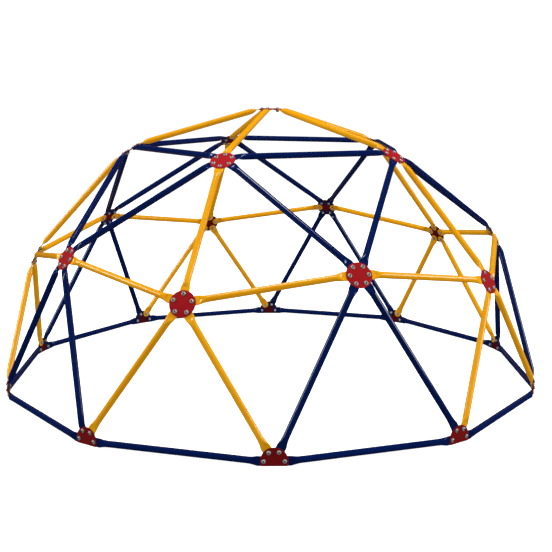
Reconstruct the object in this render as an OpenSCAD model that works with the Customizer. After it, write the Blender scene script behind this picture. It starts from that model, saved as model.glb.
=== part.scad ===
// Geodesic dome climber: 26 bolted hubs joined by 65 tubes with flattened ends.
// Origin on the ground at the dome's centre, +Z up, millimetres.
// Sector 1 faces -Y, and the sectors follow each other anticlockwise seen from above.

/* [Dome] */
// Radius of the sphere that the inner faces of the hub plates touch
dome_r = 1500; // [1200:50:1800]
// Height of the base hubs' centres above the ground
base_h = 23.5; // [23.5:0.5:28]

/* [Tubes] */
// Outer diameter of every tube
tube_d = 32; // [28:1:34]
// Thickness of the tube wall
wall = 1.5; // [1.2:0.1:2]
// Width of the flattened end of a tube
tongue_w = 46; // [42:1:46]
// Distance from a hub's centre to the rounded tip of each flattened end
tip_r = 26.5; // [26:0.5:30]
// Radius of that tip
tip_round = 23; // [23:0.5:24.5]
// Distance from a hub's centre to the bend at the root of each flattened end
bend_r = 74; // [72:1:84]
// Length over which a flattened end opens into the round tube
crimp_l = 42; // [38:1:60]

/* [Hub plates] */
// Diameter of a round hub plate
plate_d = 128; // [122:1:134]
// Thickness of a hub plate
plate_t = 4; // [3:0.5:6]
// Bevel on the outer edge of a hub plate
plate_bevel = 0.8; // [0.4:0.1:1.2]
// Diameter of the circle that the bolts of a hub stand on
bolt_circle_d = 95; // [92:1:98]

/* [Fasteners] */
// Diameter of the bolt shank
bolt_d = 10; // [8:1:10]
// Length of the bolt shank under its head
bolt_l = 20; // [18:1:25]
// Diameter of the bolt holes in plates and tube ends
hole_d = 11; // [10.5:0.1:12]
// Diameter of the button head
head_d = 17.5; // [16:0.5:19]
// Height of the button head
head_h = 5.5; // [4.5:0.1:6]
// Width across flats of the hexagon socket
socket_af = 6; // [5:0.5:6]
// Depth of the hexagon socket
socket_h = 3; // [2:0.5:3.5]
// Outer diameter of the washer under each head
washer_d = 21; // [19:0.5:22]
// Thickness of that washer
washer_t = 2; // [1:0.2:2.4]
// Width across flats of the lock nut
nut_af = 16; // [15:1:18]
// Height of the hexagonal part of the lock nut
nut_h = 7.6; // [6:0.2:9]
// Height of the round collar that holds the locking insert
collar_h = 2.2; // [1.6:0.2:3]

/* [Hidden] */
$fn = 48;
sectors = 5;
sector_angle = 360 / sectors;
front_az = -90;
sixth = 36;

// Angles down from the crown to each ring of hubs, from the icosahedron's geometry
five_way_polar = atan(2);
upper_polar = five_way_polar / 2;
six_way_polar = atan2(sin(five_way_polar) * cos(sixth), cos(five_way_polar));
base_polar = 90;

bolt_r = bolt_circle_d / 2;
tube_r = tube_d / 2;
tongue_t = 2 * wall;
head_rim = 0.6;
thread_gap = 0.1;
shank_bevel = 1;
step = 1;
cone_share = 0.95;
wedge_share = 1.2;

yellow = [0.89, 0.64, 0.09];
navy = [0.03, 0.08, 0.27];
red = [0.62, 0.13, 0.13];
zinc = [0.78, 0.78, 0.80];
steel = [0.70, 0.70, 0.72];

SECTOR_KINDS = [
    "upper_plate", "middle_plates", "base_plates",
    "crown_strut", "upper_ring_strut", "upper_spine_strut", "upper_brace_struts",
    "middle_ring_struts", "yellow_leg_struts", "blue_leg_struts", "base_rail_struts",
];

// ---- where the hubs are, as unit vectors from the dome's centre ----

function unit(v) = v / norm(v);
function hub_dir(polar, az) = [sin(polar) * cos(az), sin(polar) * sin(az), cos(polar)];
function sector_az(i) = front_az + sector_angle * (i - 1);

function crown_hub() = hub_dir(0, 0);
function upper_hub(i) = hub_dir(upper_polar, sector_az(i));
function five_way_hub(i) = hub_dir(five_way_polar, sector_az(i));
// Six-way hub k lies between sectors k and k + 1
function six_way_hub(k) = hub_dir(six_way_polar, sector_az(k) + sixth);
// Base hubs 2i - 1 and 2i lie on either side of sector i's middle
function base_hub(k) = hub_dir(base_polar, front_az + sixth * (k - 1.5));

// ---- the struts of sector i, as pairs of hubs ----

function crown_pairs(i) = [[crown_hub(), upper_hub(i)]];
function upper_ring_pairs(i) = [[upper_hub(i), upper_hub(i + 1)]];
function upper_spine_pairs(i) = [[upper_hub(i), five_way_hub(i)]];
function upper_brace_pairs(i) = [for (k = [i - 1, i]) [upper_hub(i), six_way_hub(k)]];
function middle_ring_pairs(i) = [for (k = [i - 1, i]) [five_way_hub(i), six_way_hub(k)]];
function yellow_leg_pairs(i) = [for (k = [2 * i - 1, 2 * i]) [five_way_hub(i), base_hub(k)]];
function blue_leg_pairs(i) = [for (k = [2 * i, 2 * i + 1]) [six_way_hub(i), base_hub(k)]];
function base_rail_pairs(i) = [for (k = [2 * i - 1, 2 * i]) [base_hub(k), base_hub(k + 1)]];

function sector_pairs(i) = concat(
    crown_pairs(i), upper_ring_pairs(i), upper_spine_pairs(i), upper_brace_pairs(i),
    middle_ring_pairs(i), yellow_leg_pairs(i), blue_leg_pairs(i), base_rail_pairs(i)
);

// ---- the hubs next to each hub ----

function crown_neighbours() = [for (i = [1:sectors]) upper_hub(i)];
function upper_neighbours(i) = [
    crown_hub(), upper_hub(i - 1), upper_hub(i + 1),
    five_way_hub(i), six_way_hub(i - 1), six_way_hub(i),
];
function five_way_neighbours(i) = [
    upper_hub(i), six_way_hub(i - 1), six_way_hub(i), base_hub(2 * i - 1), base_hub(2 * i),
];
function six_way_neighbours(k) = [
    upper_hub(k), upper_hub(k + 1), five_way_hub(k), five_way_hub(k + 1),
    base_hub(2 * k), base_hub(2 * k + 1),
];
// The base hub beside sector i on side -1 or 1 has one yellow leg and one blue leg
function base_neighbours(i, side) =
    let (k = side < 0 ? 2 * i - 1 : 2 * i)
    [base_hub(k - 1), base_hub(k + 1), five_way_hub(i), six_way_hub(side < 0 ? i - 1 : i)];

// ---- placing ----

// Puts the local origin at a point, local X along x_dir and local Z along z_dir
module placed(origin, x_dir, z_dir) {
    y_dir = cross(z_dir, x_dir);
    multmatrix([for (k = [0:2]) [x_dir[k], y_dir[k], z_dir[k], origin[k]]]) children();
}

// Raises the dome's centre to the height of the base hubs
module on_ground() {
    translate([0, 0, base_h]) children();
}

// On the hub, local Z points outward and local X runs in the hub's plane towards the other hub
module towards(hub, other) {
    placed(dome_r * hub, unit(other - (other * hub) * hub), hub) children();
}

// The near end of a strut and its mirror image at the far end
module both_ends(length) {
    children();
    translate([length, 0, 0]) mirror([1, 0, 0]) children();
}

// ---- a strut, lying along local X from hub centre to hub centre, local Z outward ----

// Middle of the flattened end's thickness at its root, in local X and Z
function bend_point(bend) =
    bend_r * [cos(bend), sin(bend)] + wall * [sin(bend), -cos(bend)];

// Outline of the near end from its root along the opening crimp, above (side 1) or below (side -1).
// A depth of 0 follows the outside of the tube, and a depth of wall its inside.
function crimp_line(bend, depth, side) =
    let (
        root = bend_point(bend),
        mitre = (wall - depth) / cos(bend / 2) * [-sin(bend / 2), cos(bend / 2)],
        opened = wall - depth + (tube_r - wall) * wedge_share
    )
    [root + side * mitre, root + [crimp_l * wedge_share, side * opened]];

// Both faces of the flat end at its tip, lower face first
function tip_line(bend) =
    let (tip = (tip_r - step) * [cos(bend), sin(bend)])
    [tip + tongue_t * [sin(bend), -cos(bend)], tip];

function reversed(points) = [for (k = [len(points) - 1:-1:0]) points[k]];
function far_end(points, length) = [for (p = reversed(points)) [length - p[0], p[1]]];

// Side view of the whole strut, extruded across its width
module side_prism(near_top, near_bottom, length) {
    outline = concat(near_top, far_end(near_top, length), far_end(near_bottom, length), near_bottom);
    rotate([90, 0, 0]) linear_extrude(height = 2 * tongue_w, center = true) polygon(outline);
}

// Round tube on the strut's own line, which widens at both ends to the flattened ends' width
module flared_tube(length, bend, depth) {
    root = bend_point(bend);
    start = root[0] - step;
    cone_end = start + crimp_l * cone_share;
    flare = tongue_w / 2 + step / 2 - depth;
    translate([0, 0, root[1]]) rotate([90, 0, 90]) rotate_extrude() polygon([
        [0, start], [flare, start], [tube_r - depth, cone_end],
        [tube_r - depth, length - cone_end], [flare, length - start], [0, length - start],
    ]);
}

// Plan of a flattened end: a strip with a round tip, in the plane of the hub
module tongue_plan() {
    intersection() {
        translate([0, -tongue_w / 2]) square([bend_r + step, tongue_w]);
        union() {
            translate([tip_r + tip_round, 0]) circle(r = tip_round);
            translate([tip_r + tip_round, -tongue_w]) square(2 * tongue_w);
        }
    }
}

module strut(a, b) {
    length = dome_r * norm(b - a);
    bend = asin(norm(b - a) / 2);
    flat_base = [tip_line(bend)[0]];
    flat_end = [tip_line(bend)[1]];
    placed(dome_r * a, unit(b - a), unit(a + b)) difference() {
        intersection() {
            side_prism(
                concat(flat_end, crimp_line(bend, 0, 1)),
                reversed(concat(flat_base, crimp_line(bend, 0, -1))), length
            );
            union() {
                flared_tube(length, bend, 0);
                both_ends(length) rotate([0, -bend, 0])
                    linear_extrude(height = 4 * tongue_t, center = true) tongue_plan();
            }
        }
        intersection() {
            side_prism(crimp_line(bend, wall, 1), reversed(crimp_line(bend, wall, -1)), length);
            flared_tube(length, bend, wall);
        }
        both_ends(length) rotate([0, -bend, 0])
            translate([bolt_r, 0, 0]) cylinder(h = 4 * tongue_t, d = hole_d, center = true);
    }
}

module struts(pairs) {
    on_ground() for (pair = pairs) strut(pair[0], pair[1]);
}

module crown_strut(i) {
    color(yellow) struts(crown_pairs(i));
}

module upper_ring_strut(i) {
    color(navy) struts(upper_ring_pairs(i));
}

module upper_spine_strut(i) {
    color(yellow) struts(upper_spine_pairs(i));
}

module upper_brace_struts(i) {
    color(navy) struts(upper_brace_pairs(i));
}

module middle_ring_struts(i) {
    color(yellow) struts(middle_ring_pairs(i));
}

module yellow_leg_struts(i) {
    color(yellow) struts(yellow_leg_pairs(i));
}

module blue_leg_struts(i) {
    color(navy) struts(blue_leg_pairs(i));
}

module base_rail_struts(i) {
    color(navy) struts(base_rail_pairs(i));
}

// ---- hub plates, which lie on the outside of the flattened ends ----

module plate(hub, neighbours) {
    r = plate_d / 2;
    difference() {
        towards(hub, neighbours[0]) rotate_extrude() polygon([
            [0, 0], [r, 0], [r, plate_t - plate_bevel], [r - plate_bevel, plate_t], [0, plate_t],
        ]);
        for (other = neighbours) towards(hub, other)
            translate([bolt_r, 0, -step]) cylinder(h = plate_t + 2 * step, d = hole_d);
    }
}

module crown_plate() {
    color(red) on_ground() plate(crown_hub(), crown_neighbours());
}

module upper_plate(i) {
    color(red) on_ground() plate(upper_hub(i), upper_neighbours(i));
}

module middle_plates(i) {
    color(red) on_ground() {
        plate(five_way_hub(i), five_way_neighbours(i));
        plate(six_way_hub(i), six_way_neighbours(i));
    }
}

// A base plate is cut off flat along the ground
module base_plates(i) {
    size = 4 * dome_r;
    color(red) for (side = [-1, 1]) difference() {
        on_ground() plate(base_hub(side < 0 ? 2 * i - 1 : 2 * i), base_neighbours(i, side));
        translate([-size / 2, -size / 2, -plate_d]) cube([size, size, plate_d]);
    }
}

// ---- fasteners: one bolt, washer and lock nut for every strut end ----

// Stands on a bolt hole's centre at every strut end, with local Z outward
module at_every_bolt() {
    on_ground() for (i = [1:sectors], pair = sector_pairs(i), turn = [0, 1])
        towards(pair[turn], pair[1 - turn]) translate([bolt_r, 0, 0]) children();
}

// Button head: a short rim under a dome that is cut off flat around the socket
module button_head() {
    drop = head_h / 2;
    dome = norm([head_d / 2, head_rim + drop]);
    difference() {
        intersection() {
            cylinder(h = head_h, d = head_d);
            translate([0, 0, -drop]) sphere(r = dome);
        }
        translate([0, 0, head_h - socket_h])
            cylinder(h = socket_h + step, d = socket_af / cos(30), $fn = 6);
    }
}

module bolt() {
    r = bolt_d / 2;
    translate([0, 0, plate_t + washer_t]) union() {
        button_head();
        translate([0, 0, -bolt_l]) rotate_extrude() polygon([
            [0, 0], [r - shank_bevel, 0], [r, shank_bevel], [r, bolt_l + head_rim], [0, bolt_l + head_rim],
        ]);
    }
}

module washer() {
    translate([0, 0, plate_t]) difference() {
        cylinder(h = washer_t, d = washer_d);
        translate([0, 0, -step]) cylinder(h = washer_t + 2 * step, d = (bolt_d + hole_d) / 2);
    }
}

module lock_nut() {
    collar_d = nut_af - 2;
    total_h = nut_h + collar_h;
    translate([0, 0, -tongue_t - total_h]) difference() {
        union() {
            translate([0, 0, collar_h]) cylinder(h = nut_h, d = nut_af / cos(30), $fn = 6);
            cylinder(h = collar_h + step, d = collar_d);
        }
        translate([0, 0, -step]) cylinder(h = total_h + 2 * step, d = bolt_d + 2 * thread_gap);
    }
}

module hub_bolts() {
    color(zinc) at_every_bolt() bolt();
}

module hub_washers() {
    color(zinc) at_every_bolt() washer();
}

module lock_nuts() {
    color(steel) at_every_bolt() lock_nut();
}

crown_plate();
for (i = [1:sectors]) {
    upper_plate(i);
    middle_plates(i);
    base_plates(i);
    crown_strut(i);
    upper_ring_strut(i);
    upper_spine_strut(i);
    upper_brace_struts(i);
    middle_ring_struts(i);
    yellow_leg_struts(i);
    blue_leg_struts(i);
    base_rail_struts(i);
}
hub_bolts();
hub_washers();
lock_nuts();
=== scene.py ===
"""Looks of a geodesic dome climber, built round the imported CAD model.

Tubes with flattened ends, hub plates, and the bolts, washers and lock nuts that hold them are
modelled here in detail and stand for the CAD nodes of the same parts. Lengths are in metres.
"""

import math

import bmesh
import bpy
import numpy as np
from mathutils import Matrix, Vector


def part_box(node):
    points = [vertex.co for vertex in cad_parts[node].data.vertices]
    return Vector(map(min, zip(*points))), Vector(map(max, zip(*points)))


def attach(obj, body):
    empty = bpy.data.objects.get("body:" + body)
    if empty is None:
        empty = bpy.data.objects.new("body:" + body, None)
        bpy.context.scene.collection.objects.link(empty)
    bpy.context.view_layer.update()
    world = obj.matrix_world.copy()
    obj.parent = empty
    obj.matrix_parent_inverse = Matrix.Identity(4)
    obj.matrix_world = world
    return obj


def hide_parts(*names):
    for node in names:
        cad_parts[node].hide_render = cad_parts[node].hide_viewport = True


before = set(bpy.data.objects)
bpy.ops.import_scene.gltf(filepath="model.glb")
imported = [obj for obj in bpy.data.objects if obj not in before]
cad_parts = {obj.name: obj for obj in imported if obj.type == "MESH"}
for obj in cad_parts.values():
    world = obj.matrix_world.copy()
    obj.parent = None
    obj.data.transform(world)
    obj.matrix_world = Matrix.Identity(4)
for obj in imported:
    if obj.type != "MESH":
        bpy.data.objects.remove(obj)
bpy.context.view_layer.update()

MM = 0.001

# ---- sizes that the frame gives ----

SECTORS = range(1, 6)
SIXTH = math.radians(36)
FRONT_AZ = math.radians(-90)
crown_low, crown_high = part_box("crown_plate")
PLATE_T = crown_high.z - crown_low.z
PLATE_R = (crown_high.x - crown_low.x) / 2
DOME_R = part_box("base_plates_2")[1].x - PLATE_T
BASE_H = crown_low.z - DOME_R
CENTRE = Vector((0, 0, BASE_H))
WASHER_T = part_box("hub_washers")[1].z - crown_high.z
HEAD_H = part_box("hub_bolts")[1].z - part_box("hub_washers")[1].z
TONGUE_T = DOME_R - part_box("lock_nuts")[1].x
rail_low, rail_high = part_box("base_rail_struts_1")
TONGUE_HALF_W = (rail_high.z - rail_low.z) / 2

# ---- sizes repeated from the part's driving dimensions ----

TUBE_R = 16 * MM
TIP_R = 26.5 * MM
TIP_ROUND = 23 * MM
BEND_R = 74 * MM
BOLT_CIRCLE_R = 47.5 * MM
HOLE_R = 5.5 * MM
BOLT_R = 5 * MM
BOLT_L = 20 * MM
HEAD_R = 8.75 * MM
SOCKET_AF = 6 * MM
SOCKET_H = 3 * MM
WASHER_R = 10.5 * MM
WASHER_HOLE_R = 5.25 * MM
NUT_AF = 16 * MM
NUT_H = 7.6 * MM
COLLAR_H = 2.2 * MM

# ---- where the hubs are ----

FIVE_WAY_POLAR = math.atan(2)
UPPER_POLAR = FIVE_WAY_POLAR / 2
SIX_WAY_POLAR = math.atan2(math.sin(FIVE_WAY_POLAR) * math.cos(SIXTH), math.cos(FIVE_WAY_POLAR))
BASE_POLAR = math.pi / 2


def direction(polar, azimuth):
    """Unit vector from the dome's centre, by its angle down from the crown and its azimuth."""
    flat = math.sin(polar)
    return Vector((flat * math.cos(azimuth), flat * math.sin(azimuth), math.cos(polar)))


def sector_azimuth(i):
    return FRONT_AZ + 2 * SIXTH * (i - 1)


def crown_hub():
    return direction(0, 0)


def upper_hub(i):
    return direction(UPPER_POLAR, sector_azimuth(i))


def five_way_hub(i):
    return direction(FIVE_WAY_POLAR, sector_azimuth(i))


def six_way_hub(k):
    return direction(SIX_WAY_POLAR, sector_azimuth(k) + SIXTH)


def base_hub(k):
    """Base hubs 1 to 10. The first two stand either side of the front."""
    return direction(BASE_POLAR, FRONT_AZ + SIXTH * (k - 1.5))


def sector_struts(i):
    """CAD node, piece name, colour and the two hubs of every strut of sector i."""
    odd, even = 2 * i - 1, 2 * i
    sides = ("left", "right")
    rows = [
        (f"crown_strut_{i}", f"crown_tube_{i}", "yellow", crown_hub(), upper_hub(i)),
        (f"upper_ring_strut_{i}", f"upper_ring_tube_{i}", "blue", upper_hub(i), upper_hub(i + 1)),
        (f"upper_spine_strut_{i}", f"upper_spine_tube_{i}", "yellow",
         upper_hub(i), five_way_hub(i)),
    ]
    for side, k in zip(sides, (i - 1, i)):
        rows.append((f"upper_brace_struts_{i}", f"upper_brace_tube_{i}_{side}", "blue",
                     upper_hub(i), six_way_hub(k)))
        rows.append((f"middle_ring_struts_{i}", f"middle_ring_tube_{i}_{side}", "yellow",
                     five_way_hub(i), six_way_hub(k)))
    for side, k in zip(sides, (odd, even)):
        rows.append((f"yellow_leg_struts_{i}", f"yellow_leg_tube_{i}_{side}", "yellow",
                     five_way_hub(i), base_hub(k)))
        rows.append((f"blue_leg_struts_{i}", f"blue_leg_tube_{i}_{side}", "blue",
                     six_way_hub(i), base_hub(k + 1)))
        rows.append((f"base_rail_struts_{i}", f"base_rail_tube_{i}_{side}", "blue",
                     base_hub(k), base_hub(k + 1)))
    return rows


STRUTS = [row for i in SECTORS for row in sector_struts(i)]
SAME_HUB = 1e-6


def same(a, b):
    return (a - b).length < SAME_HUB


def neighbours(hub):
    """The hubs at the far ends of the struts that meet at this hub."""
    found = []
    for _, _, _, a, b in STRUTS:
        if same(a, hub):
            found.append(b)
        elif same(b, hub):
            found.append(a)
    return found


# ---- placing ----


def axes_matrix(origin, x_axis, z_axis):
    """The local frame at a point, with Y completing its X and Z."""
    y_axis = z_axis.cross(x_axis)
    matrix = Matrix((x_axis, y_axis, z_axis)).transposed().to_4x4()
    matrix.translation = origin
    return matrix


def hub_matrix(hub, other):
    """Local Z points outward at the hub's contact point, and X runs in its plane towards other."""
    x_axis = (other - other.dot(hub) * hub).normalized()
    return axes_matrix(CENTRE + DOME_R * hub, x_axis, hub)


def strut_matrix(a, b):
    """Local X runs from hub a to hub b, and Z points outward."""
    return axes_matrix(CENTRE + DOME_R * a, (b - a).normalized(), (a + b).normalized())


# ---- mesh helpers ----

SMOOTH_ANGLE = math.radians(38)


def finish_shape(shape, mesh):
    """Turns the shape's faces outward, and smooths the mesh except at sharp edges."""
    bmesh.ops.recalc_face_normals(shape, faces=shape.faces)
    if shape.calc_volume(signed=True) < 0:
        bmesh.ops.reverse_faces(shape, faces=shape.faces)
    shape.to_mesh(mesh)
    shape.free()
    mesh.shade_smooth()
    mesh.set_sharp_from_angle(angle=SMOOTH_ANGLE)
    return mesh


def skin_mesh(name, points, faces, wear_and_shade):
    """A mesh from a list of points and faces.

    wear is 1 at a point that rubs on things, 0 on plain surfaces, and below 0 where shade is
    painted, down to -1 deep in recesses.
    """
    mesh = bpy.data.meshes.new(name)
    mesh.from_pydata([tuple(p) for p in points], [], [tuple(f) for f in faces])
    attribute = mesh.attributes.new("wear_and_shade", "FLOAT", "POINT")
    attribute.data.foreach_set("value", np.asarray(wear_and_shade, np.float32))
    mesh.validate()
    shape = bmesh.new()
    shape.from_mesh(mesh)
    return finish_shape(shape, mesh)


def place(name, mesh, material, node):
    """A piece of the object, standing for its CAD node. Its place is in its mesh."""
    mesh.materials.append(material)
    piece = bpy.data.objects.new(name, mesh)
    bpy.context.scene.collection.objects.link(piece)
    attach(piece, "root")
    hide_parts(node)


# ---- tube with flattened ends ----

QUARTER = 12
RING = 4 * QUARTER
FOLD_STEPS = 4
FLAT_STEPS = QUARTER - FOLD_STEPS
HALF_T = TONGUE_T / 2
FLAT_HALF = TONGUE_HALF_W - HALF_T
COLUMN = FLAT_HALF / FLAT_STEPS
HOLE_COLUMNS = 3
HOLE_HALF = HOLE_COLUMNS * COLUMN
BEND_HALF = 4 * MM
BEND_STEPS = 4
LOBE_START = 78 * MM
LOBE_LENGTH = 47 * MM
CENTRE_START = 83 * MM
CENTRE_LENGTH = 36 * MM
CRIMP_END = 128 * MM
CRIMP_ROWS = 18
CRIMP_ONSET = 0.035
CRIMP_POWER = 2.3
WIDTH_POWER = 0.85
LINE_POINTS = 61
FLAT_ROWS = 4
MIDDLE_RINGS = 8
FOLD_WEAR_W = 2.2 * MM
HOLE_WEAR = 0.6

# Rows of the round tip, as (mm from its end, share of the way from even to fixed columns).
TIP_ROWS = ((0.14, 0.0), (0.8, 0.0), (2.2, 0.0), (4.6, 0.2), (8.0, 0.6))


def eased(t):
    """0 to 1, quick at first and slow at the end, with a short round start instead of a corner."""
    t = (t + math.sqrt(t * t + CRIMP_ONSET * CRIMP_ONSET)) / 2
    return 1 - max(0.0, 1 - t) ** CRIMP_POWER


def full_ring(quarter):
    """A closed section from its first quarter, which runs from the +Y edge to the top's middle."""
    y, z = quarter[:, 0], quarter[:, 1]
    back = slice(-2, None, -1)
    ys = np.concatenate([y, -y[back], -y[1:], y[back][:-1]])
    zs = np.concatenate([z, z[back], -z[1:], -z[back][:-1]])
    return np.stack([ys, zs], axis=1)


def outline_half_width(r, inset):
    """Half the width of the flattened end and its round tip at r, less an inset."""
    room = (TIP_ROUND - inset) ** 2 - (TIP_R + TIP_ROUND - r) ** 2
    tip = math.sqrt(max(0.0, room)) if r < TIP_R + TIP_ROUND else TIP_ROUND
    return min(tip, TONGUE_HALF_W - inset)


def flat_quarter(r, share):
    """Section of the flattened end at r; share blends its columns from even (0) to fixed (1)."""
    deepest = min(HALF_T, r - TIP_R)
    steps = QUARTER if deepest < HALF_T else FOLD_STEPS
    last = math.acos(1 - deepest / HALF_T)
    points = []
    for j in range(steps + 1):
        angle = last * j / steps
        width = outline_half_width(r, HALF_T * (1 - math.cos(angle)))
        points.append((width if j < steps or steps < QUARTER else 0.0, HALF_T * math.sin(angle)))
    inner = points[-1][0]
    for j in range(1, QUARTER - steps + 1):
        fixed = FLAT_HALF - j * COLUMN
        if fixed > HOLE_HALF:
            beyond = (fixed - HOLE_HALF) / (FLAT_HALF - HOLE_HALF)
            fixed = HOLE_HALF + (inner - HOLE_HALF) * beyond
        even = inner * (FLAT_STEPS - j) / FLAT_STEPS
        points.append((even + share * (fixed - even), HALF_T))
    return np.array(points)


FLAT_LENGTHS = np.concatenate([
    np.linspace(0, math.pi / 2 * HALF_T, FOLD_STEPS + 1)[:-1],
    math.pi / 2 * HALF_T + np.linspace(0, FLAT_HALF, FLAT_STEPS + 1),
])
FLAT_SHARES = FLAT_LENGTHS / FLAT_LENGTHS[-1]


def opening_quarter(s):
    """Section of the crimp at a distance s from the hub: edges open first, the middle follows."""
    lobes = eased((s - LOBE_START) / LOBE_LENGTH)
    middle = min(lobes, eased((s - CENTRE_START) / CENTRE_LENGTH))
    half_width = TUBE_R + (TONGUE_HALF_W - TUBE_R) * (1 - lobes) ** WIDTH_POWER
    edge = HALF_T + (TUBE_R - HALF_T) * lobes
    centre = HALF_T + (TUBE_R - HALF_T) * middle
    turn = np.linspace(0, math.pi / 2, LINE_POINTS)
    arc = np.stack([half_width - edge + edge * np.cos(turn), edge * np.sin(turn)], axis=1)
    t = np.linspace(1, 0, LINE_POINTS)
    smooth = t * t * (3 - 2 * t)
    dip = np.stack([(half_width - edge) * t, centre + (edge - centre) * smooth], axis=1)
    line = np.concatenate([arc, dip[1:]])
    lengths = np.concatenate([[0], np.cumsum(np.hypot(*np.diff(line, axis=0).T))])
    shares = FLAT_SHARES + lobes * (np.linspace(0, 1, QUARTER + 1) - FLAT_SHARES)
    wanted = shares * lengths[-1]
    return np.stack([np.interp(wanted, lengths, line[:, k]) for k in (0, 1)], axis=1)


def end_sections(bend):
    """Rings of one end, as (middle x, middle z, tilt, quarter section)."""
    out = np.array([math.cos(bend), math.sin(bend)])
    inward = np.array([math.sin(bend), -math.cos(bend)])
    root = BEND_R * out + HALF_T * inward
    hole_start, hole_end = BOLT_CIRCLE_R - HOLE_HALF, BOLT_CIRCLE_R + HOLE_HALF
    rows = [(TIP_R + past * MM, share) for past, share in TIP_ROWS]
    rows += [(r, 1.0) for r in np.linspace(hole_start, hole_end, 2 * HOLE_COLUMNS + 1)]
    rows += [(r, 1.0) for r in np.linspace(hole_end, BEND_R - BEND_HALF, FLAT_ROWS + 1)[1:]]
    sections = []
    for r, share in rows:
        middle = r * out + HALF_T * inward
        sections.append((middle[0], middle[1], bend, flat_quarter(r, share)))
    arc_r = BEND_HALF / math.tan(bend / 2)
    for k in range(1, BEND_STEPS + 1):
        turn = bend * (1 - k / BEND_STEPS)
        s = BEND_R - BEND_HALF + 2 * BEND_HALF * k / BEND_STEPS
        x = root[0] + BEND_HALF - arc_r * math.sin(turn)
        z = root[1] - arc_r * (1 - math.cos(turn))
        sections.append((x, z, turn, opening_quarter(s)))
    for s in np.linspace(BEND_R + BEND_HALF, CRIMP_END, CRIMP_ROWS)[1:]:
        sections.append((root[0] + s - BEND_R, root[1], 0.0, opening_quarter(s)))
    return sections


def section_points(x, z, tilt, quarter):
    ring = full_ring(quarter)
    return np.stack([
        x - ring[:, 1] * math.sin(tilt),
        ring[:, 0],
        z + ring[:, 1] * math.cos(tilt),
    ], axis=1)


def section_wear(quarter):
    """How exposed each point is: folded edges of the flattened end rub first."""
    ring = full_ring(quarter)
    half_width, half_height = ring[:, 0].max(), ring[:, 1].max()
    flatness = 1 - min(1.0, (half_height - HALF_T) / (TUBE_R - HALF_T))
    near = np.clip(1 - (half_width - np.abs(ring[:, 0])) / FOLD_WEAR_W, 0, 1)
    return near * flatness


def holed_patch(rings, first, columns, hole_at, up, points):
    """The hole's rim and the quads round it, for a square that was left out of the grid."""
    corner_rows = range(first, first + 2 * HOLE_COLUMNS + 1)
    low, high = columns[0], columns[-1]
    border = [rings[first][c] for c in columns]
    border += [rings[r][high] for r in corner_rows[1:]]
    border += [rings[corner_rows[-1]][c] for c in reversed(columns[:-1])]
    border += [rings[r][low] for r in reversed(corner_rows[1:-1])]
    rim = []
    for index in border:
        offset = np.array(points[index]) - hole_at
        offset -= offset.dot(up) * up
        level = (np.array(points[index]) - hole_at).dot(up)
        rim.append(len(points))
        points.append(hole_at + level * up + HOLE_R * offset / np.linalg.norm(offset))
    count = len(border)
    faces = []
    for k in range(count):
        n = (k + 1) % count
        faces.append((border[k], border[n], rim[n], rim[k]))
    return rim, faces


def tube_mesh(name, length, bend):
    """The whole tube: two flattened ends with bolt holes, two crimps and the round middle."""
    near = end_sections(bend)
    crimp_x = near[-1][0]
    points, wear_and_shade, rings = [], [], []

    def add_ring(ring_points, ring_wear):
        start = len(points)
        points.extend(ring_points)
        wear_and_shade.extend(ring_wear)
        rings.append(list(range(start, start + RING)))

    for section in near:
        add_ring(section_points(*section), section_wear(section[3]))
    for share in np.linspace(0, 1, MIDDLE_RINGS + 2)[1:-1]:
        x = crimp_x + (length - 2 * crimp_x) * share
        section = (x, near[-1][1], 0.0, near[-1][3])
        add_ring(section_points(*section), np.zeros(RING))
    for section in reversed(near):
        mirrored = section_points(*section)
        mirrored[:, 0] = length - mirrored[:, 0]
        add_ring(mirrored, section_wear(section[3]))

    top = list(range(QUARTER - HOLE_COLUMNS, QUARTER + HOLE_COLUMNS + 1))
    bottom = list(range(3 * QUARTER - HOLE_COLUMNS, 3 * QUARTER + HOLE_COLUMNS + 1))
    hole_row = len(TIP_ROWS)
    far_row = len(rings) - 1 - hole_row - 2 * HOLE_COLUMNS
    skipped = set()
    for start in (hole_row, far_row):
        for r in range(start, start + 2 * HOLE_COLUMNS):
            skipped.update((r, c) for c in top[:-1] + bottom[:-1])
    faces = []
    for r in range(len(rings) - 1):
        for c in range(RING):
            if (r, c) not in skipped:
                d = (c + 1) % RING
                faces.append((rings[r][c], rings[r][d], rings[r + 1][d], rings[r + 1][c]))
    for ring in (rings[0], rings[-1]):
        for j in range(2 * QUARTER):
            a, b = ring[j], ring[j + 1]
            c, d = ring[(RING - j - 1) % RING], ring[(RING - j) % RING]
            faces.append(tuple(dict.fromkeys((a, b, c, d))))
    for start, side in ((hole_row, 1), (far_row, -1)):
        out = np.array([math.cos(bend), 0, math.sin(bend)])
        up = np.array([-math.sin(bend), 0, math.cos(bend)])
        hole_at = BOLT_CIRCLE_R * out - HALF_T * up
        if side < 0:
            hole_at[0], up[0] = length - hole_at[0], -up[0]
        rims = []
        for columns in (top, bottom):
            rim, ring_faces = holed_patch(rings, start, columns, hole_at, up, points)
            wear_and_shade.extend([HOLE_WEAR] * len(rim))
            faces.extend(ring_faces)
            rims.append(rim)
        count = len(rims[0])
        lower = match_loop(points, rims[0], rims[1], up)
        faces += [(rims[0][k], rims[0][(k + 1) % count], lower[(k + 1) % count], lower[k])
                  for k in range(count)]
    return skin_mesh(name, points, faces, wear_and_shade)


def match_loop(points, upper, lower, up):
    """The lower loop's points in the order of those straight above them."""
    ordered = []
    for index in upper:
        def gap(other):
            offset = np.array(points[other]) - np.array(points[index])
            return np.linalg.norm(offset - offset.dot(up) * up)
        ordered.append(min(lower, key=gap))
    return ordered


# ---- hub plates ----

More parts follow.
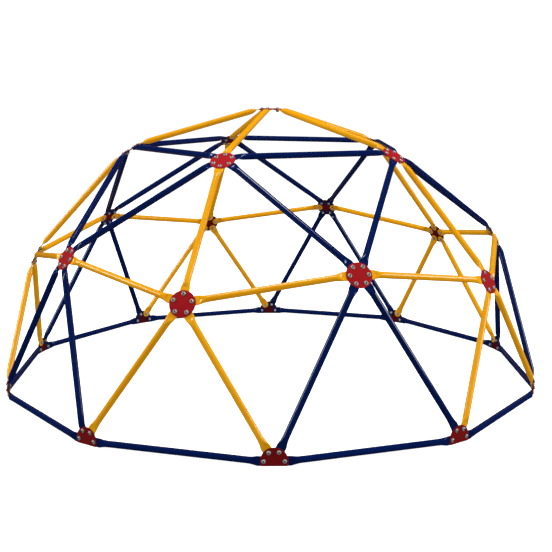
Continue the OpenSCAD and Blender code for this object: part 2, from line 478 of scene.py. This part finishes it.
TOP_ROUND = 1.0 * MM
BACK_ROUND = 0.5 * MM
HOLE_ROUND = 0.35 * MM
CORNER_R = 3 * MM
EDGE_STEPS = 4
# Painted shade on the plates' edges and in their holes.
SIDE_SHADE = -0.75
DISC_STEPS = 120
CORNER_STEPS = 6
CHORD_STEPS = 29
HOLE_STEPS = 32


def disc_outline(inset):
    turn = np.linspace(0, 2 * math.pi, DISC_STEPS, endpoint=False)
    return (PLATE_R - inset) * np.stack([np.cos(turn), np.sin(turn)], axis=1)


def cut_disc_outline(inset):
    """A disc cut off along the ground, with small round corners. Local Y is up."""
    radius, corner = PLATE_R - inset, CORNER_R - inset
    corner_y = CORNER_R - BASE_H
    corner_x = math.sqrt((PLATE_R - CORNER_R) ** 2 - corner_y ** 2)
    meet = math.atan2(corner_y, corner_x)
    big = np.linspace(meet, math.pi - meet, DISC_STEPS)
    small = np.linspace(math.pi - meet, 1.5 * math.pi, CORNER_STEPS + 1)[1:]
    arc = radius * np.stack([np.cos(big), np.sin(big)], axis=1)
    left = corner * np.stack([np.cos(small), np.sin(small)], axis=1)
    left += np.array([-corner_x, corner_y])
    right = (left * [-1, 1])[::-1]
    bottom = np.linspace(left[-1], right[0], CHORD_STEPS + 1)[1:-1]
    return np.concatenate([arc, left, bottom, right])


def rounded_profile(top, back):
    """Steps of a plate's edge, as (inset from the outline, height, wear and painted shade), from
    back to face.
    """
    quarter = np.linspace(0, math.pi / 2, EDGE_STEPS + 1)
    rise = [(back * (1 - math.sin(a)), back * (1 - math.cos(a)), SIDE_SHADE) for a in quarter]
    fall = []
    for a in quarter:
        wear_shade = SIDE_SHADE if a == 0 else math.sin(2 * a)
        fall.append((top * (1 - math.cos(a)), PLATE_T - top * (1 - math.sin(a)), wear_shade))
    return rise + fall


def plate_mesh(name, outline, hole_centres):
    """A hub plate with an eased outline and a round hole, also eased, for each bolt."""
    shape = bmesh.new()
    wear_and_shade = shape.verts.layers.float.new("wear_and_shade")

    def wall(loop_at, profile):
        """A band of quads along a profile. Returns its first and its last loop of vertices."""
        loops = []
        for inset, height, wear_shade in profile:
            loop = [shape.verts.new((x, y, height)) for x, y in loop_at(inset)]
            for vert in loop:
                vert[wear_and_shade] = wear_shade
            loops.append(loop)
        for low, high in zip(loops, loops[1:]):
            for k in range(len(low)):
                n = (k + 1) % len(low)
                shape.faces.new((low[k], low[n], high[n], high[k]))
        return loops[0], loops[-1]

    backs, fronts = [], []
    back, front = wall(outline, rounded_profile(TOP_ROUND, BACK_ROUND))
    backs.append(back)
    fronts.append(front)
    turn = np.linspace(0, 2 * math.pi, HOLE_STEPS, endpoint=False)
    circle = np.stack([np.cos(turn), np.sin(turn)], axis=1)
    for centre in hole_centres:
        back, front = wall(
            lambda inset: centre + (HOLE_R + inset) * circle,
            rounded_profile(HOLE_ROUND, HOLE_ROUND),
        )
        backs.append(back)
        fronts.append(front)
    for loops in (backs, fronts):
        edges = []
        for loop in loops:
            for k, vert in enumerate(loop):
                other = loop[(k + 1) % len(loop)]
                edges.append(shape.edges.get((vert, other)))
        bmesh.ops.triangle_fill(shape, use_beauty=True, edges=edges)
    return finish_shape(shape, bpy.data.meshes.new(name))


# ---- fasteners ----

TURN_STEPS = 48
TURN = np.linspace(0, 2 * math.pi, TURN_STEPS, endpoint=False)
THREAD_PITCH = 1.5 * MM
THREAD_DEPTH = 0.8 * MM
THREAD_REACH = 0.98
THREAD_LOW = 0.6 * MM
THREAD_HIGH = 5.8 * MM
THREAD_ROWS = 20
THREAD_RUN_IN = 5
SHANK_LOW = 6 * MM
CREST_SLOPE = 1.15
ROOT_SHARE = 0.1
HEAD_RIM_H = 0.6 * MM
# From the head's rim to its crown: painted shade at the rim, then polish.
HEAD_WEAR_AND_SHADE = (-0.55, -0.25, 0.1, 0.35, 0.45, 0.5, 0.5, 0.6, 0.7)
SOCKET_MOUTH_W = 1.0 * MM
WASHER_EASE = 0.25 * MM
INSERT_EASE = 0.15 * MM
NUT_SLOPE = math.tan(math.radians(30))
NUT_BORE_R = BOLT_R + 0.12 * MM


def ring_at(radius, height):
    """A ring of points. Its radius and height may be one number, or one for every step."""
    heights = np.broadcast_to(height, TURN_STEPS)
    return np.stack([radius * np.cos(TURN), radius * np.sin(TURN), heights], axis=1)


def hexagon_radius(half_flats):
    """Distance from the middle to a hexagon's side at every step round it."""
    side = math.pi / 3
    return half_flats / np.cos((TURN + side / 2) % side - side / 2)


def hexagon_at(half_flats, height):
    return ring_at(hexagon_radius(half_flats), height)


class Lathe:
    """One closed skin from a profile, which lists each ring of points with its wear and painted
    shade.

    A loop's last ring joins its first. Otherwise both ends are capped.
    """

    def __init__(self, profile, loop=False):
        size, count = TURN_STEPS, len(profile)
        self.points = [point for ring, _ in profile for point in ring]
        self.wear_and_shade = [wear_shade for _, wear_shade in profile for _ in range(size)]
        self.faces = []
        for r in range(count if loop else count - 1):
            for k in range(size):
                n, up = (k + 1) % size, (r + 1) % count
                self.faces.append((r * size + k, r * size + n, up * size + n, up * size + k))
        if not loop:
            self.cap(range(size))
            self.cap(range((count - 1) * size, count * size))

    def cap(self, ring):
        """Closes a ring by a fan round its middle."""
        middle = len(self.points)
        self.points.append(np.mean([self.points[k] for k in ring], axis=0))
        self.wear_and_shade.append(0.0)
        for k, index in enumerate(ring):
            self.faces.append((index, ring[(k + 1) % len(ring)], middle))


def thread_rings(core):
    """Rings of a thread that winds round the core, grows from nothing and ends near the shank."""
    rings = []
    for k, rise in enumerate(np.linspace(THREAD_LOW, THREAD_HIGH, THREAD_ROWS + 1)):
        height = rise - BOLT_L
        phase = (height / THREAD_PITCH - TURN / (2 * math.pi)) % 1
        ridge = np.clip(CREST_SLOPE * (1 - np.abs(2 * phase - 1)) - ROOT_SHARE, 0, 1)
        grown = min(1.0, k / THREAD_RUN_IN)
        rings.append(ring_at(core + THREAD_DEPTH * THREAD_REACH * ridge * grown, height))
    return rings


def bolt_lathe():
    """Button head with a hexagon socket, plain shank and threaded end. Z = 0 is under the head."""
    core = BOLT_R - THREAD_DEPTH
    profile = [
        (ring_at(core - 0.5 * MM, -BOLT_L), 0.4),
        (ring_at(core, -BOLT_L + 0.4 * MM), 0.6),
    ]
    profile += [(ring, 0.3) for ring in thread_rings(core)]
    profile += [
        (ring_at(BOLT_R, SHANK_LOW - BOLT_L), 0.2),
        (ring_at(BOLT_R, -0.05 * MM), 0.2),
        # Painted shade under the head and round its rim.
        (ring_at(HEAD_R - 0.5 * MM, 0.0), -0.5),
        (ring_at(HEAD_R - 0.12 * MM, 0.08 * MM), -0.6),
        (ring_at(HEAD_R, 0.3 * MM), -0.6),
    ]
    drop = HEAD_H / 2
    dome_r = math.hypot(HEAD_R, HEAD_RIM_H + drop)
    flat_r = math.sqrt(dome_r ** 2 - (HEAD_H + drop) ** 2)
    low_angle = math.atan2(HEAD_R, HEAD_RIM_H + drop)
    top_angle = math.atan2(flat_r, HEAD_H + drop)
    for angle, wear_shade in zip(np.linspace(low_angle, top_angle, len(HEAD_WEAR_AND_SHADE)), HEAD_WEAR_AND_SHADE):
        profile.append((ring_at(dome_r * math.sin(angle), dome_r * math.cos(angle) - drop), wear_shade))
    socket = SOCKET_AF / 2
    mouth = socket / math.cos(math.pi / 6) + SOCKET_MOUTH_W
    profile += [
        # A bright mouth, then the socket painted dark as shade.
        (ring_at(mouth + 0.15 * MM, HEAD_H), 0.5),
        (ring_at(mouth, HEAD_H - 0.08 * MM), -0.85),
        (hexagon_at(socket + 0.1 * MM, HEAD_H - 0.6 * MM), -1.0),
        (hexagon_at(socket, HEAD_H - 0.8 * MM), -1.0),
        (hexagon_at(socket, HEAD_H - SOCKET_H), -1.0),
        (ring_at(0.55 * socket, HEAD_H - SOCKET_H - 0.5 * MM), -1.0),
    ]
    return Lathe(profile)


def flat_ring(inner, outer, low, high, ease):
    """A flat ring with eased edges, and painted shade on top near its hole and at its foot."""
    slight = 0.3 * ease
    profile = [
        (ring_at(inner, low + ease), 0.3),
        (ring_at(inner + ease, low), 0.4),
        (ring_at(outer - ease, low), 0.4),
        (ring_at(outer - slight, low + slight), -0.4),
        (ring_at(outer, low + ease), -0.5),
        (ring_at(outer, high - ease), -0.3),
        (ring_at(outer - slight, high - slight), 0.7),
        (ring_at(outer - ease, high), 0.5),
        (ring_at(inner + ease, high), -0.5),
        (ring_at(inner, high - ease), -0.5),
    ]
    return Lathe(profile, loop=True)


def washer_lathe():
    """Flat washer. Z = 0 is its lower face."""
    return flat_ring(WASHER_HOLE_R, WASHER_R, 0, WASHER_T, WASHER_EASE)


def nut_lathe():
    """Chamfered hexagon with a round collar. Z = 0 is its seat, and the collar points to -Z."""
    half = NUT_AF / 2
    chamfer_r = 0.97 * half
    corner = (hexagon_radius(half) - chamfer_r) * NUT_SLOPE
    collar_r = half - 1.3 * MM
    lip_r = BOLT_R + 0.75 * MM
    end = -NUT_H - COLLAR_H
    profile = [
        (ring_at(NUT_BORE_R, -0.8 * MM), 0.2),
        (ring_at(BOLT_R + 0.9 * MM, 0.0), 0.5),
        (ring_at(chamfer_r, 0.0), 0.5),
        (hexagon_at(half, -corner), 0.4),
        (hexagon_at(half, -NUT_H + corner), 0.4),
        (ring_at(collar_r + 0.5 * MM, -NUT_H), 0.4),
        (ring_at(collar_r, -NUT_H - 0.3 * MM), 0.2),
        (ring_at(collar_r, end + 0.9 * MM), 0.3),
        # A bright ring on the collar's end: polish, and a painted highlight.
        (ring_at(collar_r - 0.35 * MM, end + 0.25 * MM), 0.7),
        (ring_at(collar_r - 0.95 * MM, end), 0.8),
        (ring_at(lip_r + 0.9 * MM, end + 0.05 * MM), 0.6),
        (ring_at(lip_r + 0.8 * MM, end + 0.5 * MM), 0.2),
        (ring_at(NUT_BORE_R, end + 0.9 * MM), 0.1),
    ]
    return Lathe(profile, loop=True)


def insert_lathe():
    """Nylon ring in the nut's collar, which grips the thread. Z = 0 is the nut's seat."""
    end = -NUT_H - COLLAR_H
    inner, outer = BOLT_R - 0.3 * MM, BOLT_R + 1.5 * MM
    return flat_ring(inner, outer, end + 0.2 * MM, end + 0.85 * MM, INSERT_EASE)


def joined_copies(name, lathe, matrices):
    """One mesh of a fastener at every place that it is used."""
    local = np.array(lathe.points)
    points, faces, wear_and_shade = [], [], []
    for matrix in matrices:
        placed = local @ np.array(matrix.to_3x3()).T + np.array(matrix.translation)
        shift = len(points)
        points.extend(placed)
        faces.extend(tuple(shift + k for k in face) for face in lathe.faces)
        wear_and_shade.extend(lathe.wear_and_shade)
    return skin_mesh(name, points, faces, wear_and_shade)


# ---- materials ----


class Nodes:
    """Short names for building the nodes of a material or of the world."""

    def __init__(self, owner):
        owner.use_nodes = True
        self.owner = owner
        self.tree = owner.node_tree
        self.shader = self.tree.nodes.get("Principled BSDF")

    def node(self, kind, **values):
        made = self.tree.nodes.new(kind)
        for key, value in values.items():
            setattr(made, key, value)
        return made

    def link(self, source, target):
        self.tree.links.new(source, target)

    def set(self, **sockets):
        for key, value in sockets.items():
            self.shader.inputs[key.replace("_", " ")].default_value = value

    def feed(self, socket, source):
        """Drives a socket of the material's shader."""
        self.link(source, self.shader.inputs[socket])

    def noise(self, scale, detail, roughness=0.5):
        """Noise by place on the object. scale is how many waves fit in a metre."""
        texture = self.node("ShaderNodeTexNoise")
        texture.inputs["Scale"].default_value = scale
        texture.inputs["Detail"].default_value = detail
        texture.inputs["Roughness"].default_value = roughness
        self.link(self.position(), texture.inputs["Vector"])
        return texture.outputs["Fac"]

    def position(self):
        if not hasattr(self, "_position"):
            self._position = self.node("ShaderNodeNewGeometry").outputs["Position"]
        return self._position

    def wear_and_shade(self):
        if not hasattr(self, "_wear_and_shade"):
            self._wear_and_shade = self.node("ShaderNodeAttribute", attribute_name="wear_and_shade").outputs["Fac"]
        return self._wear_and_shade

    def exposed(self):
        """1 where a surface rubs on things, and where some fasteners carry a painted highlight, 0
        elsewhere.
        """
        return self.remap(self.wear_and_shade(), 0, 1, 0, 1)

    def painted_shade(self):
        """Painted shade: 1 deep in a recess, less on edges and round parts, 0 elsewhere."""
        return self.remap(self.wear_and_shade(), 0, -1, 0, 1)

    def height(self):
        split = self.node("ShaderNodeSeparateXYZ")
        self.link(self.position(), split.inputs["Vector"])
        return split.outputs["Z"]

    def remap(self, value, low, high, to_low, to_high):
        made = self.node("ShaderNodeMapRange")
        self.link(value, made.inputs["Value"])
        names = ("From Min", "From Max", "To Min", "To Max")
        for key, number in zip(names, (low, high, to_low, to_high)):
            made.inputs[key].default_value = number
        return made.outputs["Result"]

    def maths(self, operation, *values):
        made = self.node("ShaderNodeMath", operation=operation)
        for socket, value in zip(made.inputs, values):
            if isinstance(value, (int, float)):
                socket.default_value = value
            else:
                self.link(value, socket)
        return made.outputs["Value"]

    def mix(self, share, a, b):
        made = self.node("ShaderNodeMix", data_type="RGBA")
        self.link(share, made.inputs["Factor"])
        for socket, value in ((made.inputs["A"], a), (made.inputs["B"], b)):
            if isinstance(value, tuple):
                socket.default_value = (*value, 1.0)
            else:
                self.link(value, socket)
        return made.outputs["Result"]

    def bump(self, height, distance, under=None):
        made = self.node("ShaderNodeBump")
        made.inputs["Distance"].default_value = distance
        made.inputs["Strength"].default_value = 1.0
        self.link(height, made.inputs["Height"])
        if under is not None:
            self.link(under, made.inputs["Normal"])
        return made.outputs["Normal"]


# Noise stays near a half. These two parts of its range are stretched to a whole scale.
BAND = (0.35, 0.65)
WIDE_BAND = (0.3, 0.7)

COAT_IOR = 1.5
NYLON_IOR = 1.53
# Polished zinc, also a painted highlight on the nuts' collars.
POLISH_AND_HIGHLIGHT = (0.90, 0.90, 0.88)
# Near black, painted as shade into sockets, under heads and round washers.
SHADE_BLACK = (0.02, 0.02, 0.022)


def gloss_coat(name, colour, shade, pale):
    """Gloss powder coat: orange peel, slow drifts of tone, and rubbed folded edges."""
    mottle_share, rubbed_share, rubbed_roughness = 0.25, 0.55, 0.25
    peel_depth, pore_depth = 0.007 * MM, 0.002 * MM
    n = Nodes(bpy.data.materials.new(name))
    drift = n.remap(n.noise(6, 3), *BAND, 0, 1)
    mottle = n.remap(n.noise(90, 4, 0.6), *WIDE_BAND, 0, mottle_share)
    speckled = n.mix(mottle, n.mix(drift, colour, shade), colour)
    patches = n.remap(n.noise(260, 5, 0.65), 0.42, 0.62, 0, 1)
    rubbed = n.maths("MULTIPLY", n.exposed(), patches)
    n.feed("Base Color", n.mix(n.maths("MULTIPLY", rubbed, rubbed_share), speckled, pale))
    smear = n.remap(n.noise(35, 4, 0.6), *WIDE_BAND, 0.08, 0.14)
    n.feed("Roughness", n.maths("ADD", smear, n.maths("MULTIPLY", rubbed, rubbed_roughness)))
    peel = n.bump(n.noise(420, 1.5, 0.45), peel_depth)
    n.feed("Normal", n.bump(n.noise(1900, 2), pore_depth, under=peel))
    n.set(IOR=COAT_IOR)
    return n.owner


def texture_coat(name, painted_light_top, colour, dull_and_shaded, pale):
    """Fine-textured powder coat: a tight sandy grain, painted shade low down and painted light up
    high.
    """
    grain_share, dull_share, rubbed_share = 0.35, 0.5, 0.4
    grain_tone, edge_shade_tone = 0.4, 0.12
    fine_depth, coarse_depth = 0.09 * MM, 0.08 * MM
    n = Nodes(bpy.data.materials.new(name))
    grain = n.noise(850, 3, 0.55)
    drift = n.remap(n.noise(14, 3), *BAND, -0.06, 0.06)
    # Painted shade darkens the coat towards the ground, and painted light brightens it near the
    # top.
    level = n.maths("ADD", n.height(), drift)
    lower = n.mix(n.remap(level, 0.15, 0.7, 0, 1), dull_and_shaded, colour)
    upper = n.mix(n.remap(level, 0.9, 1.3, 0, 1), lower, painted_light_top)
    base = n.mix(n.remap(n.noise(170, 3, 0.6), 0.4, 0.7, 0, dull_share), upper, dull_and_shaded)
    specks = tuple(grain_tone * c for c in colour)
    sandy = n.mix(n.remap(grain, *BAND, grain_share, 0), base, specks)
    # Painted shade on the plate's edges and in its holes.
    shaded_edges = n.mix(n.painted_shade(), sandy, tuple(edge_shade_tone * c for c in colour))
    patches = n.remap(n.noise(420, 5, 0.65), 0.45, 0.65, 0, rubbed_share)
    n.feed("Base Color", n.mix(n.maths("MULTIPLY", n.exposed(), patches), shaded_edges, pale))
    n.feed("Roughness", n.remap(grain, *WIDE_BAND, 0.62, 0.46))
    n.feed("Normal", n.bump(n.noise(300, 2), coarse_depth, under=n.bump(grain, fine_depth)))
    n.set(IOR=COAT_IOR, Specular_IOR_Level=0.06)
    return n.owner


def plated_steel(name, colour, stain, gloss):
    """Matt zinc-flake plating: cloudy, tumbled, with polished edges, some painted highlight, and
    painted shade in recesses.
    """
    roughness_range, polish_gain, tumble_depth = 0.16, 0.08, 0.012 * MM
    n = Nodes(bpy.data.materials.new(name))
    base = n.mix(n.remap(n.noise(160, 4, 0.6), *BAND, 0, 1), colour, stain)
    patches = n.remap(n.noise(500, 3), 0.35, 0.6, 0.2, 0.8)
    polish_and_highlight = n.maths("MULTIPLY", n.exposed(), patches)
    # Painted shade in recesses; polish, with some painted highlight, on exposed points.
    n.feed("Base Color", n.mix(n.painted_shade(), n.mix(polish_and_highlight, base, POLISH_AND_HIGHLIGHT), SHADE_BLACK))
    rough = n.remap(n.noise(700, 4, 0.6), *WIDE_BAND, gloss, gloss + roughness_range)
    n.feed("Roughness", n.maths("SUBTRACT", rough, n.maths("MULTIPLY", polish_and_highlight, polish_gain)))
    n.feed("Normal", n.bump(n.noise(1500, 3, 0.6), tumble_depth))
    n.set(Metallic=0.5)
    return n.owner


def nylon(name, colour, shade):
    """Milky nylon of the lock nut's insert, cut a little rough by the thread."""
    cut_depth = 0.03 * MM
    n = Nodes(bpy.data.materials.new(name))
    n.feed("Base Color", n.mix(n.remap(n.noise(400, 3), *BAND, 0, 1), colour, shade))
    n.feed("Roughness", n.remap(n.noise(900, 3), *WIDE_BAND, 0.38, 0.55))
    n.feed("Normal", n.bump(n.noise(1200, 3), cut_depth))
    n.set(IOR=NYLON_IOR, Subsurface_Weight=0.15, Subsurface_Scale=MM)
    return n.owner


def floor_material():
    """Pale studio floor with a barely visible grain, which brightens into the white backdrop."""
    near, far = 1.0, 4.5
    near_glow, far_glow = 0.75, 1.1
    n = Nodes(bpy.data.materials.new("studio_floor"))
    tone = n.remap(n.noise(3, 3), *WIDE_BAND, 0, 1)
    n.feed("Base Color", n.mix(tone, (0.93, 0.93, 0.93), (0.90, 0.90, 0.90)))
    away = n.node("ShaderNodeVectorMath", operation="LENGTH")
    n.link(n.position(), away.inputs[0])
    n.feed("Emission Strength", n.remap(away.outputs["Value"], near, far, near_glow, far_glow))
    n.set(Roughness=0.9, Specular_IOR_Level=0.1, Emission_Color=(1, 1, 1, 1))
    return n.owner


YELLOW = gloss_coat(
    "yellow_gloss_coat",
    colour=(0.90, 0.40, 0.004),
    shade=(0.84, 0.35, 0.003),
    pale=(0.92, 0.56, 0.10),
)
BLUE = gloss_coat(
    "blue_gloss_coat",
    colour=(0.0003, 0.010, 0.090),
    shade=(0.0003, 0.008, 0.074),
    pale=(0.02, 0.06, 0.20),
)
RED = texture_coat(
    "red_texture_coat",
    # The top colour is painted light; the dull one is painted shade low down and the tone of
    # random dull patches.
    painted_light_top=(0.50, 0.010, 0.015),
    colour=(0.42, 0.008, 0.012),
    dull_and_shaded=(0.19, 0.0035, 0.0045),
    pale=(0.68, 0.13, 0.12),
)
BOLT_STEEL = plated_steel(
    "bolt_zinc",
    colour=(0.56, 0.55, 0.52),
    stain=(0.44, 0.43, 0.41),
    gloss=0.34,
)
# The washers' zinc is darker than the bolts', partly as painted shade round the heads.
WASHER_STEEL = plated_steel(
    "washer_zinc",
    colour=(0.36, 0.35, 0.33),
    stain=(0.27, 0.26, 0.25),
    gloss=0.36,
)
NUT_STEEL = plated_steel(
    "nut_zinc",
    colour=(0.30, 0.28, 0.25),
    stain=(0.21, 0.20, 0.18),
    gloss=0.34,
)
NYLON = nylon("insert_nylon", colour=(0.72, 0.74, 0.70), shade=(0.60, 0.63, 0.60))

# ---- tubes ----

COATS = {"yellow": (YELLOW, "yellow_tube"), "blue": (BLUE, "blue_tube")}


def make_tubes():
    """Every tube in its place. Tubes between hubs at one angle are copies of one shape."""
    shapes = {}
    for node, name, colour, a, b in STRUTS:
        chord = (b - a).length
        length = round(chord, 4)
        if length not in shapes:
            shapes[length] = tube_mesh("tube", DOME_R * chord, math.asin(chord / 2))
        mesh = shapes[length].copy()
        mesh.name = name
        mesh.transform(strut_matrix(a, b))
        material, slot = COATS[colour]
        place(name, mesh, material, node)


# ---- plates and fasteners, hub by hub ----

GROUND_LEVEL = 0.01


def hub_groups():
    """Every ring of hubs, as (name, [(plate name, CAD node, hub)])."""
    crown = [("crown_hub_plate", "crown_plate", crown_hub())]
    upper, five_way, six_way = [], [], []
    for i in SECTORS:
        upper.append((f"upper_hub_plate_{i}", f"upper_plate_{i}", upper_hub(i)))
        five_way.append((f"five_way_hub_plate_{i}", f"middle_plates_{i}", five_way_hub(i)))
        six_way.append((f"six_way_hub_plate_{i}", f"middle_plates_{i}", six_way_hub(i)))
    base = []
    for k in range(1, 2 * len(SECTORS) + 1):
        base.append((f"base_hub_plate_{k}", f"base_plates_{(k + 1) // 2}", base_hub(k)))
    return [
        ("crown", crown),
        ("upper", upper),
        ("five_way", five_way),
        ("six_way", six_way),
        ("base", base),
    ]


def make_plate(name, node, hub):
    """A round plate, or one cut off along the ground at the base."""
    on_ground = hub.z < GROUND_LEVEL
    if on_ground:
        matrix = axes_matrix(CENTRE + DOME_R * hub, Vector((0, 0, 1)).cross(hub), hub)
    else:
        matrix = hub_matrix(hub, neighbours(hub)[0])
    inverse = matrix.inverted()
    holes = []
    for other in neighbours(hub):
        at = inverse @ (hub_matrix(hub, other) @ Vector((BOLT_CIRCLE_R, 0, 0)))
        holes.append(np.array([at.x, at.y]))
    mesh = plate_mesh(name, cut_disc_outline if on_ground else disc_outline, holes)
    mesh.transform(matrix)
    place(name, mesh, RED, node)


def bolt_places(hub, height):
    """Where a hub's bolts stand, at a height over the flattened ends' outer faces.

    Each is turned by its own angle, so that the sockets don't line up.
    """
    by_bolt, by_x, by_y = 17, 40, 25
    places = []
    for k, other in enumerate(neighbours(hub)):
        degrees = by_bolt * k + by_x * hub.x + by_y * hub.y
        turn = Matrix.Rotation(math.radians(degrees), 4, "Z")
        lift = Matrix.Translation((BOLT_CIRCLE_R, 0, height))
        places.append(hub_matrix(hub, other) @ lift @ turn)
    return places


def make_hubs():
    """A plate for every hub, and one piece for each kind of fastener in a ring of hubs."""
    kinds = [
        ("bolts", bolt_lathe(), PLATE_T + WASHER_T, BOLT_STEEL, "zinc_bolt", "hub_bolts"),
        ("washers", washer_lathe(), PLATE_T, WASHER_STEEL, "zinc_washer", "hub_washers"),
        ("nuts", nut_lathe(), -TONGUE_T, NUT_STEEL, "zinc_nut", "lock_nuts"),
        ("nut_inserts", insert_lathe(), -TONGUE_T, NYLON, "zinc_nut", "lock_nuts"),
    ]
    for group, hubs in hub_groups():
        for name, node, hub in hubs:
            make_plate(name, node, hub)
        for kind, lathe, height, material, slot, node in kinds:
            matrices = [m for _, _, hub in hubs for m in bolt_places(hub, height)]
            name = f"{group}_{kind}"
            mesh = joined_copies(name, lathe, matrices)
            place(name, mesh, material, node)


make_tubes()
make_hubs()

# ---- studio ----

FLOOR_R = 9
FLOOR_STEPS = 128
CEILING = 8
BACKDROP_STRENGTH = 1.15
ROOM_SINES = (-0.7, 0.5)
ROOM_STRENGTHS = (0.62, 0.76)
ROOM_IN_GLOSS = 0.04
LENS_MM = 68.13
SENSOR_MM = 36
FAR_CLIP = 200
CAMERA_AT = (1.774, -5.6528, 1.7388)
CAMERA_YAW = math.radians(107.125)
CAMERA_PITCH = math.radians(-11.146)


def make_floor():
    """A round floor that neither lights the object nor shows in its gloss."""
    turn = np.linspace(0, 2 * math.pi, FLOOR_STEPS, endpoint=False)
    rim = [(FLOOR_R * math.cos(a), FLOOR_R * math.sin(a), 0) for a in turn]
    mesh = bpy.data.meshes.new("floor")
    mesh.from_pydata(rim, [], [tuple(range(len(rim)))])
    mesh.materials.append(floor_material())
    floor = bpy.data.objects.new("floor", mesh)
    bpy.context.scene.collection.objects.link(floor)
    floor.visible_glossy = False
    floor.visible_diffuse = False


def area_light(name, position, aim, width, depth, power):
    """A soft box, pointed at a place."""
    data = bpy.data.lights.new(name, "AREA")
    data.shape = "RECTANGLE"
    data.size, data.size_y = width, depth
    data.energy = power
    light = bpy.data.objects.new(name, data)
    light.visible_camera = False
    bpy.context.scene.collection.objects.link(light)
    light.location = position
    light.rotation_euler = (Vector(aim) - Vector(position)).to_track_quat("-Z", "Y").to_euler()


def make_world():
    """White behind the object; round it a soft room, whose walls show only dimly in the gloss."""
    n = Nodes(bpy.data.worlds.new("studio"))
    n.tree.nodes.clear()
    path = n.node("ShaderNodeLightPath")
    spot = n.node("ShaderNodeTexCoord")
    split = n.node("ShaderNodeSeparateXYZ")
    n.link(spot.outputs["Generated"], split.inputs["Vector"])
    walls = n.remap(split.outputs["Z"], *ROOM_SINES, *ROOM_STRENGTHS)
    dimmed = n.maths("MULTIPLY_ADD", path.outputs["Is Glossy Ray"], ROOM_IN_GLOSS - 1, 1.0)
    room = n.node("ShaderNodeBackground")
    n.link(n.maths("MULTIPLY", walls, dimmed), room.inputs["Strength"])
    backdrop = n.node("ShaderNodeBackground")
    backdrop.inputs["Color"].default_value = (1, 1, 1, 1)
    backdrop.inputs["Strength"].default_value = BACKDROP_STRENGTH
    mix = n.node("ShaderNodeMixShader")
    n.link(path.outputs["Is Camera Ray"], mix.inputs["Fac"])
    n.link(room.outputs["Background"], mix.inputs[1])
    n.link(backdrop.outputs["Background"], mix.inputs[2])
    output = n.node("ShaderNodeOutputWorld")
    n.link(mix.outputs["Shader"], output.inputs["Surface"])
    bpy.context.scene.world = n.owner


def make_camera():
    """The main view: from eye height, a little to one side of square to a base rail."""
    data = bpy.data.cameras.new("camera")
    data.lens = LENS_MM
    data.sensor_width = SENSOR_MM
    data.clip_end = FAR_CLIP
    camera = bpy.data.objects.new("camera", data)
    bpy.context.scene.collection.objects.link(camera)
    level = math.cos(CAMERA_PITCH)
    look = Vector((
        level * math.cos(CAMERA_YAW),
        level * math.sin(CAMERA_YAW),
        math.sin(CAMERA_PITCH),
    ))
    camera.location = CAMERA_AT
    camera.rotation_euler = look.to_track_quat("-Z", "Y").to_euler()
    bpy.context.scene.camera = camera


make_floor()
area_light(
    "ceiling_box",
    position=(0.3, -1.0, CEILING),
    aim=(0.2, -0.2, 0.5),
    width=2.6,
    depth=2.6,
    power=235,
)
area_light(
    "left_box",
    position=(-6.1, -2.9, 4.1),
    aim=(0, 0, 0.7),
    width=3.0,
    depth=2.2,
    power=185,
)
area_light(
    "right_box",
    position=(6.8, 0.1, 3.0),
    aim=(0, 0, 0.8),
    width=3.3,
    depth=2.6,
    power=200,
)
make_world()
make_camera()
bpy.context.scene.view_settings.view_transform = "Standard"
